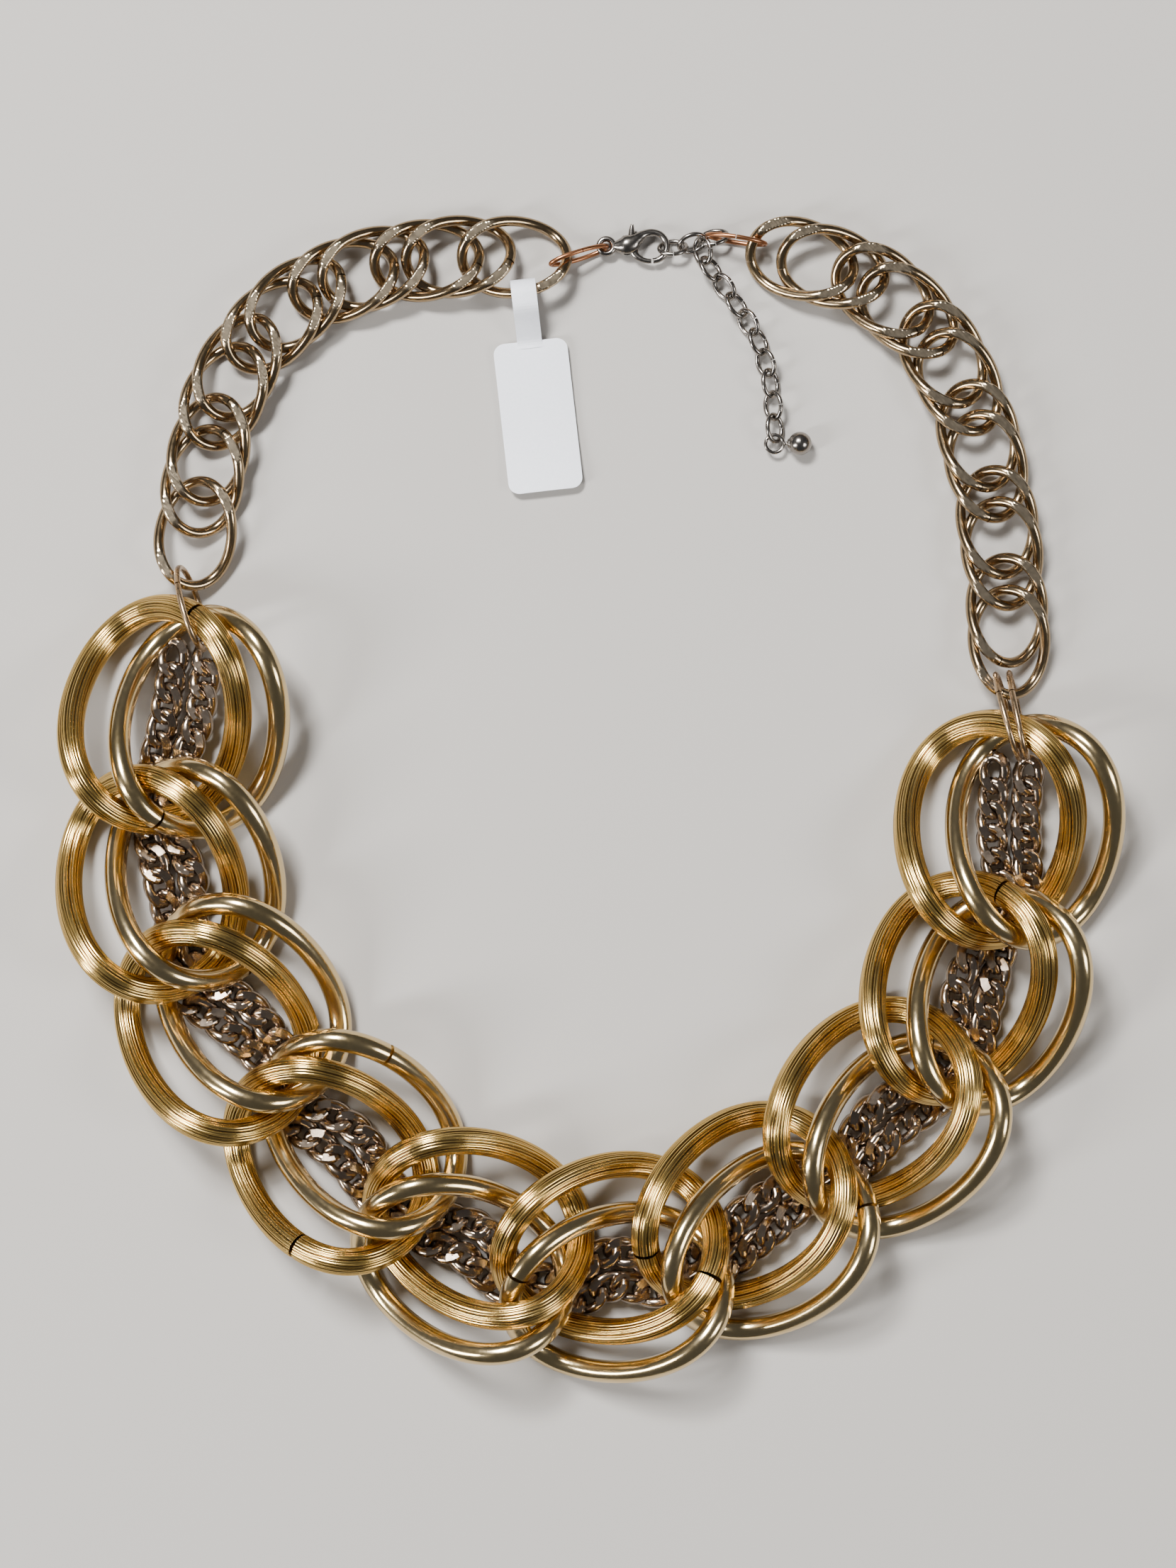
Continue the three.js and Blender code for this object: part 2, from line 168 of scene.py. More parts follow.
def make_ring_tree():
    tree = bpy.data.node_groups.new("bent_wire_ring", "GeometryNodeTree")
    named_inputs(tree, ring_inputs)
    n = add_nodes(
        tree,
        given="NodeGroupInput",
        made="NodeGroupOutput",
        arc="GeometryNodeCurveArc",
        at="GeometryNodeInputPosition",
        split="ShaderNodeSeparateXYZ",
        oval="ShaderNodeCombineXYZ",
        bend="GeometryNodeSetPosition",
        section="GeometryNodeCurvePrimitiveCircle",
        share="GeometryNodeSplineParameter",
        swell="GeometryNodeSetPosition",
        grow="ShaderNodeVectorMath",
        note="GeometryNodeStoreNamedAttribute",
        run="GeometryNodeStoreNamedAttribute",
        sweep="GeometryNodeCurveToMesh",
        at_wire="GeometryNodeInputPosition",
        wire_split="ShaderNodeSeparateXYZ",
        wire_join="ShaderNodeCombineXYZ",
        grind="GeometryNodeSetPosition",
        smooth="GeometryNodeSetShadeSmooth",
        ground="GeometryNodeStoreNamedAttribute",
        whole="GeometryNodeRealizeInstances",
        coat="GeometryNodeSetMaterial",
        cut="GeometryNodeInputNamedAttribute",
    )
    join = tree.links.new

    # the wire's centre line: an oval whose flanks rise and dip
    given = n["given"].outputs
    full = 2 * math.pi
    join(given["Steps"], n["arc"].inputs["Resolution"])
    n["arc"].inputs["Radius"].default_value = 1
    gap = math_node(tree, "MULTIPLY", given["Seam Share"], full)
    half_gap = math_node(tree, "MULTIPLY", gap, 0.5)
    join(math_node(tree, "ADD", given["Seam Turn"], half_gap), n["arc"].inputs["Start Angle"])
    join(math_node(tree, "SUBTRACT", full, gap), n["arc"].inputs["Sweep Angle"])
    join(n["at"].outputs[0], n["split"].inputs[0])
    x, y = n["split"].outputs[0], n["split"].outputs[1]
    join(math_node(tree, "MULTIPLY", x, given["Half Length"]), n["oval"].inputs[0])
    join(math_node(tree, "MULTIPLY", y, given["Half Width"]), n["oval"].inputs[1])
    rise = math_node(tree, "MULTIPLY", math_node(tree, "MULTIPLY", x, y), -2)
    join(math_node(tree, "MULTIPLY", rise, given["Twist"]), n["oval"].inputs[2])
    join(n["arc"].outputs["Curve"], n["bend"].inputs["Geometry"])
    join(n["oval"].outputs[0], n["bend"].inputs["Position"])
    n["run"].inputs["Name"].default_value = "run"
    join(n["bend"].outputs[0], n["run"].inputs["Geometry"])
    join(n["share"].outputs["Length"], n["run"].inputs["Value"])

    # the wire's section: a circle with ribs of slightly uneven depth
    join(given["Sides"], n["section"].inputs["Resolution"])
    n["section"].inputs["Radius"].default_value = 1
    all_ribs = math_node(tree, "MULTIPLY", given["Rib Count"], full)
    phase = math_node(tree, "MULTIPLY", n["share"].outputs["Factor"], all_ribs)
    wander = math_node(tree, "SINE", math_node(tree, "MULTIPLY", phase, rib_wander_rate))
    uneven = math_node(tree, "MULTIPLY", wander, rib_wander)
    wave = math_node(tree, "MULTIPLY", math_node(tree, "COSINE", phase), rib_wave)
    ridge = math_node(tree, "ADD", wave, uneven)
    rise_of_rib = math_node(tree, "MULTIPLY", ridge, given["Rib Depth"])
    size = math_node(tree, "ADD", given["Wire Radius"], rise_of_rib)
    n["note"].inputs["Name"].default_value = "rib"
    join(n["section"].outputs["Curve"], n["note"].inputs["Geometry"])
    join(ridge, n["note"].inputs["Value"])
    n["grow"].operation = "SCALE"
    join(n["at"].outputs[0], n["grow"].inputs[0])
    join(size, n["grow"].inputs["Scale"])
    join(n["note"].outputs[0], n["swell"].inputs["Geometry"])
    join(n["grow"].outputs[0], n["swell"].inputs["Position"])
    join(n["run"].outputs[0], n["sweep"].inputs["Curve"])
    join(n["swell"].outputs[0], n["sweep"].inputs["Profile Curve"])
    n["sweep"].inputs["Fill Caps"].default_value = True

    # the flats: whatever stands above or below the flat height is pressed back to it
    join(n["at_wire"].outputs[0], n["wire_split"].inputs[0])
    top = given["Flat Height"]
    bottom = math_node(tree, "MULTIPLY", top, -1)
    held = math_node(tree, "MAXIMUM", n["wire_split"].outputs[2], bottom)
    join(n["wire_split"].outputs[0], n["wire_join"].inputs[0])
    join(n["wire_split"].outputs[1], n["wire_join"].inputs[1])
    join(math_node(tree, "MINIMUM", held, top), n["wire_join"].inputs[2])
    n["ground"].inputs["Name"].default_value = "ground_flat"
    join(n["sweep"].outputs[0], n["ground"].inputs["Geometry"])
    height = math_node(tree, "ABSOLUTE", n["wire_split"].outputs[2])
    join(math_node(tree, "GREATER_THAN", height, top), n["ground"].inputs["Value"])
    join(n["ground"].outputs[0], n["grind"].inputs["Geometry"])
    join(n["wire_join"].outputs[0], n["grind"].inputs["Position"])
    join(n["grind"].outputs[0], n["smooth"].inputs["Geometry"])
    n["cut"].inputs["Name"].default_value = "ground_flat"
    rounded = math_node(tree, "LESS_THAN", n["cut"].outputs["Attribute"], wholly_ground)
    join(rounded, n["smooth"].inputs["Shade Smooth"])
    join(n["smooth"].outputs[0], n["whole"].inputs["Geometry"])
    join(n["whole"].outputs[0], n["coat"].inputs["Geometry"])
    join(given["Material"], n["coat"].inputs["Material"])
    join(n["coat"].outputs[0], n["made"].inputs[0])
    return tree


ring_tree = make_ring_tree()


def baked(name, tree, settings, base=None):
    """The tree's result as a plain mesh."""
    holder = bpy.data.objects.new(name + "_maker", base or bpy.data.meshes.new(name + "_maker"))
    bpy.context.scene.collection.objects.link(holder)
    modifier = holder.modifiers.new("maker", "NODES")
    modifier.node_group = tree
    sockets = {s.name: s.identifier for s in tree.interface.items_tree if s.in_out == "INPUT"}
    for key, value in settings.items():
        modifier[sockets[key]] = value
    holder.update_tag()
    depsgraph = bpy.context.evaluated_depsgraph_get()
    result = holder.evaluated_get(depsgraph)
    mesh = bpy.data.meshes.new_from_object(result, preserve_all_data_layers=True, depsgraph=depsgraph)
    holder.modifiers.remove(modifier)
    bpy.data.objects.remove(holder)
    mesh.name = name
    return mesh


def node_points(node):
    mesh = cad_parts[node].data
    points = np.empty(len(mesh.vertices) * 3)
    mesh.vertices.foreach_get("co", points)
    return points.reshape(-1, 3)


def ring_place(node):
    """A ring's own axes, as a matrix: long axis, short axis, then the way it faces."""
    low, high = (Vector(corner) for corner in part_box(node))
    points = node_points(node)
    spread = np.cov((points - points.mean(axis=0)).T)
    axes = [Vector(axis) for axis in np.linalg.eigh(spread)[1].T[::-1]]
    facing = axes[0].cross(axes[1])
    place = Matrix((axes[0], axes[1], facing)).transposed().to_4x4()
    place.translation = (low + high) / 2
    return place


def add_piece(name, mesh, body, slot, *nodes):
    piece = bpy.data.objects.new(name, mesh)
    bpy.context.scene.collection.objects.link(piece)
    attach(piece, body)
    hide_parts(*nodes)
    return piece


cloud_scale = 160
cloud_detail = 4
wear_detail = 6
wear_depth = 0.0001
rib_shadow = (-1, 0.3)  # the heights of a rib between which its shadow fades out


def plated(name, colour, tone, roughness, grain, scratch, groove_shade=None):
    """Plated metal: two tones in soft clouds, roughness that wanders, a fine worn bump, and painted shade in
    the rib grooves when a groove shade is given.
    """
    material = bpy.data.materials.new(name)
    material.use_nodes = True
    tree = material.node_tree
    shader = tree.nodes["Principled BSDF"]
    shader.inputs["Metallic"].default_value = 1
    n = add_nodes(
        tree,
        place="ShaderNodeTexCoord",
        cloud="ShaderNodeTexNoise",
        blend="ShaderNodeMix",
        wear="ShaderNodeTexNoise",
        polish="ShaderNodeMapRange",
        bump="ShaderNodeBump",
    )
    n["cloud"].inputs["Scale"].default_value = cloud_scale
    n["cloud"].inputs["Detail"].default_value = cloud_detail
    n["wear"].inputs["Scale"].default_value = grain
    n["wear"].inputs["Detail"].default_value = wear_detail
    tree.links.new(n["place"].outputs["Object"], n["cloud"].inputs["Vector"])
    tree.links.new(n["place"].outputs["Object"], n["wear"].inputs["Vector"])
    n["blend"].data_type = "RGBA"
    n["blend"].inputs[6].default_value = (*colour, 1)
    n["blend"].inputs[7].default_value = (*tone, 1)
    tree.links.new(n["cloud"].outputs[0], n["blend"].inputs[0])
    skin = n["blend"].outputs[2]
    # The grooves between the ribs are painted dark: painted shade where the ribs' own shadow would fall.
    if groove_shade:
        m = add_nodes(tree, rib="ShaderNodeAttribute", depth="ShaderNodeMapRange", dark="ShaderNodeMix")
        m["rib"].attribute_name = "rib"
        tree.links.new(m["rib"].outputs["Fac"], m["depth"].inputs["Value"])
        m["depth"].inputs["From Min"].default_value = rib_shadow[0]
        m["depth"].inputs["From Max"].default_value = rib_shadow[1]
        m["dark"].data_type = "RGBA"
        m["dark"].inputs[6].default_value = (*groove_shade, 1)
        tree.links.new(m["depth"].outputs[0], m["dark"].inputs[0])
        tree.links.new(skin, m["dark"].inputs[7])
        skin = m["dark"].outputs[2]
    tree.links.new(skin, shader.inputs["Base Color"])
    tree.links.new(n["wear"].outputs[0], n["polish"].inputs["Value"])
    n["polish"].inputs["To Min"].default_value = roughness[0]
    n["polish"].inputs["To Max"].default_value = roughness[1]
    tree.links.new(n["polish"].outputs[0], shader.inputs["Roughness"])
    tree.links.new(n["wear"].outputs[0], n["bump"].inputs["Height"])
    n["bump"].inputs["Strength"].default_value = scratch
    n["bump"].inputs["Distance"].default_value = wear_depth
    tree.links.new(n["bump"].outputs[0], shader.inputs["Normal"])
    return material


yellow_gold = plated(
    "yellow_gold_plate",
    colour=(0.62, 0.39, 0.09),
    tone=(0.8, 0.56, 0.21),
    roughness=(0.15, 0.28),
    grain=900,
    scratch=0.06,
    # painted shade in the grooves between the ribs
    groove_shade=(0.1, 0.045, 0.01),
)
big_half_length = 18 * MM
ribbed_half_width = 13.9 * MM
big_twist = 5.8 * MM
ribbed_wire_radius = 2.3 * MM
rib_count = 28
rib_depth = 0.1 * MM
sides_per_rib = 4
big_link_count = 10
seam_turns = (200, 160, 120, 250, 150, 210, 20, 330, 190, 340)
link_places = {}

for number in range(1, big_link_count + 1):
    body = f"link_{number:02d}"
    node = f"{body}_ribbed_ring"
    place = ring_place(node)
    link_places[body] = place
    mesh = baked(node, ring_tree, {
        "Half Length": big_half_length, "Half Width": ribbed_half_width, "Twist": big_twist,
        "Wire Radius": ribbed_wire_radius - rib_depth, "Rib Count": float(rib_count), "Rib Depth": rib_depth,
        "Seam Turn": math.radians(seam_turns[number - 1]), "Steps": 110, "Sides": rib_count * sides_per_rib,
        "Material": yellow_gold,
    })
    mesh.transform(place)
    add_piece(f"{body}_ribbed", mesh, body, "ribbed_gold", node)

# ---- the plain rings beside them ----
# Thinner round wire with no ribs, the same curb-twisted oval, plated pale champagne gold and
# satin polished. It lies through the ribbed ring so that the two turn together.
champagne_gold = plated(
    "champagne_satin_plate",
    colour=(0.6, 0.44, 0.2),
    tone=(0.76, 0.6, 0.35),
    roughness=(0.12, 0.24),
    grain=1400,
    scratch=0.06,
)
plain_half_width = 13.2 * MM
plain_wire_radius = 1.9 * MM
plain_places = {}

for number in range(1, big_link_count + 1):
    body = f"link_{number:02d}"
    node = f"{body}_smooth_ring"
    place = ring_place(node)
    plain_places[body] = place
    mesh = baked(node, ring_tree, {
        "Half Length": big_half_length, "Half Width": plain_half_width, "Twist": big_twist,
        "Wire Radius": plain_wire_radius, "Seam Turn": math.radians(seam_turns[number - 1] + 180),
        "Steps": 120, "Sides": 24, "Material": champagne_gold,
    })
    mesh.transform(place)
    add_piece(f"{body}_plain", mesh, body, "satin_gold", node)

# ---- the curb strands threaded through the big links ----
# Two flat curb chains of round wire lie side by side, ground flat on their faces and plated
# brownish bronze. They pass under each joint of the big links and rise into each window.
bronze = plated(
    "strand_bronze_plate",
    colour=(0.24, 0.18, 0.13),
    tone=(0.46, 0.37, 0.29),
    roughness=(0.14, 0.27),
    grain=1500,
    scratch=0.06,
)
strand_link = {
    "Half Length": 2.85 * MM, "Half Width": 1.85 * MM, "Twist": 0.85 * MM, "Wire Radius": 0.92 * MM,
    "Flat Height": 1.12 * MM, "Seam Share": 0.01, "Steps": 20, "Sides": 8, "Material": bronze,
}
strand_pitch = 4.0 * MM
strand_spread = 2.9 * MM
strand_spread_under = 2.2 * MM
strand_reach = 13 * MM
strand_lean = 6  # degrees, one strand to the left and the other to the right
lean_wander = 4  # degrees
lean_wander_rate = 0.37
first_link_share = {-1: 0.2, 1: 0.5}  # how much of a pitch each strand has gone at its start


def make_chain_tree():
    """One bent ring on every point, turned as the point says."""
    tree = bpy.data.node_groups.new("rings_on_a_path", "GeometryNodeTree")
    named_inputs(tree, ring_inputs)
    n = add_nodes(
        tree,
        given="NodeGroupInput",
        made="NodeGroupOutput",
        ring="GeometryNodeGroup",
        turn="GeometryNodeInputNamedAttribute",
        euler="FunctionNodeEulerToRotation",
        lay="GeometryNodeInstanceOnPoints",
        whole="GeometryNodeRealizeInstances",
        coat="GeometryNodeSetMaterial",
    )
    n["ring"].node_tree = ring_tree
    for name in ring_inputs:
        tree.links.new(n["given"].outputs[name], n["ring"].inputs[name])
    n["turn"].data_type = "FLOAT_VECTOR"
    n["turn"].inputs["Name"].default_value = "turn"
    tree.links.new(n["turn"].outputs["Attribute"], n["euler"].inputs[0])
    tree.links.new(n["given"].outputs["Geometry"], n["lay"].inputs["Points"])
    tree.links.new(n["ring"].outputs[0], n["lay"].inputs["Instance"])
    tree.links.new(n["euler"].outputs[0], n["lay"].inputs["Rotation"])
    tree.links.new(n["lay"].outputs[0], n["whole"].inputs["Geometry"])
    tree.links.new(n["whole"].outputs[0], n["coat"].inputs["Geometry"])
    tree.links.new(n["given"].outputs["Material"], n["coat"].inputs["Material"])
    tree.links.new(n["coat"].outputs[0], n["made"].inputs[0])
    return tree


chain_tree = make_chain_tree()


def chained(name, places, settings):
    """A plain mesh with one ring at each place."""
    dots = bpy.data.meshes.new(name + "_dots")
    dots.from_pydata([place.translation for place in places], [], [])
    turn = dots.attributes.new("turn", "FLOAT_VECTOR", "POINT")
    for dot, place in zip(turn.data, places):
        dot.vector = place.to_euler("XYZ")
    return baked(name, chain_tree, settings, dots)


def facing_along(place, way):
    """The same place with its long axis turned to point the given way."""
    if place.col[0].to_3d().dot(way) >= 0:
        return place
    return place @ Matrix.Rotation(math.pi, 4, "Z")


def flat_place(place):
    """A place turned the right way up, as a flat matrix on the table."""
    ahead = place.col[0].to_3d()
    ahead.z = 0
    ahead.normalize()
    side = Vector((-ahead.y, ahead.x, 0))
    flat = Matrix((ahead, side, Vector((0, 0, 1)))).transposed().to_4x4()
    flat.translation = place.translation
    return flat


bodies = list(link_places)
middles = {body: (link_places[body].translation + plain_places[body].translation) / 2 for body in bodies}
tracks = {}
for index, body in enumerate(bodies):
    before = middles[bodies[max(index - 1, 0)]]
    after = middles[bodies[min(index + 1, big_link_count - 1)]]
    track = flat_place(facing_along(link_places[body], after - before))
    track.translation = middles[body]
    tracks[body] = track

under_height = 1.75 * MM
window_height = 3.5 * MM
under_drift = 1.5 * MM
body_split = 0.4  # share of the way between two stops where the links change to the next body


def strand_stop(body, along, side, height):
    stop = tracks[body] @ Vector((along, side, 0))
    stop.z = cad_box[0].z + height
    return stop


route = [(strand_stop(bodies[0], -strand_reach, 0, window_height), strand_spread, bodies[0])]
for index, body in enumerate(bodies):
    route.append((strand_stop(body, 0, 0, window_height), strand_spread, body))
    if index + 1 < big_link_count:
        ahead = bodies[index + 1]
        near_end = strand_stop(ahead, -big_half_length, under_drift, under_height)
        far_end = strand_stop(body, big_half_length, -under_drift, under_height)
        route.append((near_end, strand_spread_under, body))
        route.append((far_end, strand_spread_under, ahead))
route.append((strand_stop(bodies[-1], strand_reach, 0, window_height), strand_spread, bodies[-1]))


def smooth_run(stops, steps=24):
    """Points of a smooth line through the stops, with the share of the way along."""
    made = []
    for i in range(len(stops) - 1):
        a, b, c, d = (stops[min(max(i + k, 0), len(stops) - 1)] for k in (-1, 0, 1, 2))
        for step in range(steps):
            t = step / steps
            pull = b * 2 + (c - a) * t + (a * 2 - b * 5 + c * 4 - d) * t * t + (b * 3 - a - c * 3 + d) * t**3
            made.append((pull / 2, i + t))
    made.append((stops[-1], len(stops) - 1.0))
    return made


middle_run = smooth_run([stop for stop, _, _ in route])


def strand_line(strand):
    """The points of one strand beside the middle run, each with the body it rides on."""
    line = []
    for k, (spot, share) in enumerate(middle_run):
        ahead = middle_run[min(k + 1, len(middle_run) - 1)][0] - middle_run[max(k - 1, 0)][0]
        side = Vector((-ahead.y, ahead.x, 0)).normalized()
        i = min(int(share), len(route) - 2)
        ease = share - i
        ease = ease * ease * (3 - 2 * ease)
        apart = route[i][1] * (1 - ease) + route[i + 1][1] * ease
        line.append((spot + side * apart * strand, route[i][2] if ease < body_split else route[i + 1][2]))
    return line


def strand_link_places(strand):
    """A place for each link of one strand, a pitch apart, with the body it rides on."""
    line = strand_line(strand)
    gone = strand_pitch * first_link_share[strand]
    for k in range(len(line) - 1):
        step = line[k + 1][0] - line[k][0]
        gone += step.length
        if gone < strand_pitch:
            continue
        gone -= strand_pitch
        ahead = step.normalized()
        side = Vector((0, 0, 1)).cross(ahead).normalized()
        lean = strand_lean * strand + lean_wander * math.sin(k * lean_wander_rate)
        place = Matrix((ahead, side, ahead.cross(side))).transposed().to_4x4()
        place.translation = line[k][0]
        yield line[k][1], place @ Matrix.Rotation(math.radians(lean), 4, "X")


strand_places = {body: [] for body in bodies}
for strand in (-1, 1):
    for body, place in strand_link_places(strand):
        strand_places[body].append(place)

for body in bodies:
    mesh = chained(f"{body}_curb_strands", strand_places[body], strand_link)
    add_piece(f"{body}_curb_strands", mesh, body, "strand_bronze", f"{body}_strands")

# ---- the doubled back chain ----
# Curb rings in pairs, each pair linked through the next. They are champagne bronze wire, and the
# chain's faces are cut flat with a fine hatch that catches the light, painted on the flats as a brighter
# sheen.
hatched = plated(
    "back_chain_plate",
    colour=(0.24, 0.165, 0.09),
    tone=(0.46, 0.34, 0.2),
    roughness=(0.13, 0.28),
    grain=1300,
    scratch=0.08,
)


hatch_scale = 900
hatch_wander = 1.5
hatch_strength = 0.5
hatch_depth = 0.00008
# colour of the painted sheen on the ground flats
flat_sheen = (0.74, 0.6, 0.42, 1)


def add_hatch(material):
    """Fine slanting cuts on the ground flats, which are painted brighter than the round wire as a painted
    sheen.
    """
    tree = material.node_tree
    shader = tree.nodes["Principled BSDF"]
    n = add_nodes(
        tree,
        place="ShaderNodeTexCoord",
        cuts="ShaderNodeTexWave",
        flat="ShaderNodeAttribute",
        bright="ShaderNodeMix",
        lift="ShaderNodeMath",
        bump="ShaderNodeBump",
    )
    n["cuts"].inputs["Scale"].default_value = hatch_scale
    n["cuts"].inputs["Distortion"].default_value = hatch_wander
    n["cuts"].bands_direction = "DIAGONAL"
    n["flat"].attribute_name = "ground_flat"
    tree.links.new(n["place"].outputs["Object"], n["cuts"].inputs["Vector"])
    n["lift"].operation = "MULTIPLY"
    tree.links.new(n["cuts"].outputs["Fac"], n["lift"].inputs[0])
    tree.links.new(n["flat"].outputs["Fac"], n["lift"].inputs[1])
    tree.links.new(n["lift"].outputs[0], n["bump"].inputs["Height"])
    n["bump"].inputs["Strength"].default_value = hatch_strength
    n["bump"].inputs["Distance"].default_value = hatch_depth
    under = shader.inputs["Normal"].links[0].from_socket
    tree.links.new(under, n["bump"].inputs["Normal"])
    tree.links.new(n["bump"].outputs[0], shader.inputs["Normal"])
    skin = shader.inputs["Base Color"].links[0].from_socket
    # The ground flats are painted brighter: a painted sheen for the light that the cut faces catch.
    n["bright"].data_type = "RGBA"
    n["bright"].inputs[7].default_value = flat_sheen
    tree.links.new(n["flat"].outputs["Fac"], n["bright"].inputs[0])
    tree.links.new(skin, n["bright"].inputs[6])
    tree.links.new(n["bright"].outputs[2], shader.inputs["Base Color"])


add_hatch(hatched)
back_ring = {
    "Half Length": 8.9 * MM, "Half Width": 6.1 * MM, "Twist": 1.95 * MM, "Wire Radius": 0.92 * MM,
    "Flat Height": 2.44 * MM, "Steps": 76, "Sides": 16, "Seam Share": 0.003, "Material": hatched,
}
pair_step = 5.4 * MM
pair_sag = 0.45 * MM
lowest_band = 0.3 * MM
first_seam = 20  # degrees
seam_step = 140
side_chains = [f"left_chain_{number:02d}" for number in range(1, 8)]
side_chains += [f"right_chain_{number:02d}" for number in range(1, 7)]
single_rings = ("left_chain_01", "left_chain_07")


def pair_places(node):
    """Where the two rings of a pair lie: the second one is a little lower."""
    flat = flat_place(ring_place(node))
    low, high = (Vector(corner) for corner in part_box(node))
    if node in single_rings:
        return [flat]
    points = [flat.inverted() @ Vector(point) for point in node_points(node)]
    depth = min(point.z for point in points) + lowest_band
    lowest = [point.x for point in points if point.z < depth]
    if sum(lowest) < 0:
        flat = flat @ Matrix.Rotation(math.pi, 4, "Z")
    flat.translation.z = (low.z + high.z + pair_sag) / 2
    return [
        flat @ Matrix.Translation((-pair_step / 2, 0, 0)),
        flat @ Matrix.Translation((pair_step / 2, 0, -pair_sag)),
    ]


for count, node in enumerate(side_chains):
    body = node.replace("_chain", "")
    seam_turn = math.radians(first_seam + seam_step * (count % 2))
    mesh = chained(f"{node}_rings", pair_places(node), {**back_ring, "Seam Turn": seam_turn})
    add_piece(f"{node}_rings", mesh, body, "back_bronze", node)

# ---- the jump rings between the big links and the back chain ----
# Thin open ovals of round bronze wire, closed by hand: one on the left and two on the right.
thin_bronze = plated(
    "jump_ring_plate",
    colour=(0.3, 0.19, 0.1),
    tone=(0.5, 0.36, 0.22),
    roughness=(0.2, 0.36),
    grain=1500,
    scratch=0.1,
)
jump_wire_radius = 0.5 * MM
jump_rings = {
    "left_jump_ring": ("left_jump", 8.2, 6.1),
    "right_jump_ring_a": ("right_jump", 8.1, 6.4),
    "right_jump_ring_b": ("right_jump", 8.6, 5.8),
}
for node, (body, half_length, half_width) in jump_rings.items():
    mesh = baked(f"{node}_wire", ring_tree, {
        "Half Length": half_length * MM, "Half Width": half_width * MM, "Twist": 0.0,
        "Wire Radius": jump_wire_radius, "Seam Turn": math.radians(90), "Steps": 72, "Sides": 14,
        "Material": thin_bronze,
    })
    mesh.transform(ring_place(node))
    add_piece(f"{node}_wire", mesh, body, "back_bronze", node)

# ---- the copper rings at the clasp and at the extender ----
# Finer ovals of reddish copper wire that has dulled. One holds the clasp, one the extender.
dull_copper = plated(
    "dull_copper",
    colour=(0.3, 0.115, 0.05),
    tone=(0.5, 0.24, 0.12),
    roughness=(0.22, 0.4),
    grain=1500,
    scratch=0.12,
)
fine_wire_radius = 0.4 * MM
for node, half_length, half_width in (("extender_ring", 5, 2.9), ("clasp_ring", 5.3, 2.1)):
    mesh = baked(f"{node}_wire", ring_tree, {
        "Half Length": half_length * MM, "Half Width": half_width * MM, "Twist": 0.0,
        "Wire Radius": fine_wire_radius, "Seam Turn": math.radians(90), "Steps": 60, "Sides": 12,
        "Material": dull_copper,
    })
    mesh.transform(ring_place(node))
    add_piece(f"{node}_wire", mesh, node, "copper", node)

# ---- the lobster clasp ----
# A small casting in dark silver plate: an eye, a body swollen to hold the spring, and a hook that
# tapers round to its nose. A thin gate with a thumb spur turns on a rivet in a slot in the body.
pewter = plated(
    "dark_silver_plate",
    colour=(0.15, 0.135, 0.12),
    tone=(0.36, 0.33, 0.3),
    roughness=(0.15, 0.3),
    grain=1500,
    scratch=0.08,
)
clasp_low, clasp_high = (Vector(corner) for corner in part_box("clasp_body"))
eye_radius = 1.25 * MM
eye_wire_radius = 0.5 * MM
eye_from_end = 1.75 * MM
eye_from_nose_side = 2.95 * MM
clasp_eye = Vector((clasp_low.x + eye_from_end, clasp_low.y + eye_from_nose_side, 0))
clasp_eye.z = (clasp_low.z + clasp_high.z) / 2


def lofted(name, stations, centre, material, sides=20, steps=7):
    """A closed bar through stations of x, y, half width and half thickness, in millimetres."""
    rows = smooth_run([Vector(station) for station in stations], steps)
    rows = [row for row, _ in rows]
    shell = bmesh.new()
    loops = []
    for k, row in enumerate(rows):
        ahead = rows[min(k + 1, len(rows) - 1)] - rows[max(k - 1, 0)]
        side = Vector((-ahead[1], ahead[0], 0)).normalized()
        loop = []
        for corner in range(sides):
            turn = 2 * math.pi * corner / sides
            spot = Vector((row[0], row[1], 0)) + side * row[2] * math.cos(turn)
            spot.z = row[3] * math.sin(turn)
            loop.append(shell.verts.new(centre + spot * MM))
        loops.append(loop)
    for first, second in zip(loops, loops[1:]):
        for corner in range(sides):
            follow = (corner + 1) % sides
            shell.faces.new((first[corner], first[follow], second[follow], second[corner]))
    shell.faces.new(loops[0][::-1])
    shell.faces.new(loops[-1])
    bmesh.ops.recalc_face_normals(shell, faces=shell.faces)
    for face in shell.faces:
        face.smooth = True
    mesh = bpy.data.meshes.new(name)
    shell.to_mesh(mesh)
    shell.free()
    mesh.materials.append(material)
    return mesh


def merged(name, meshes):
    """Several meshes as one."""
    whole = bmesh.new()
    for mesh in meshes:
        whole.from_mesh(mesh)
    made = bpy.data.meshes.new(name)
    whole.to_mesh(made)
    whole.free()
    made.materials.append(meshes[0].materials[0])
    return made


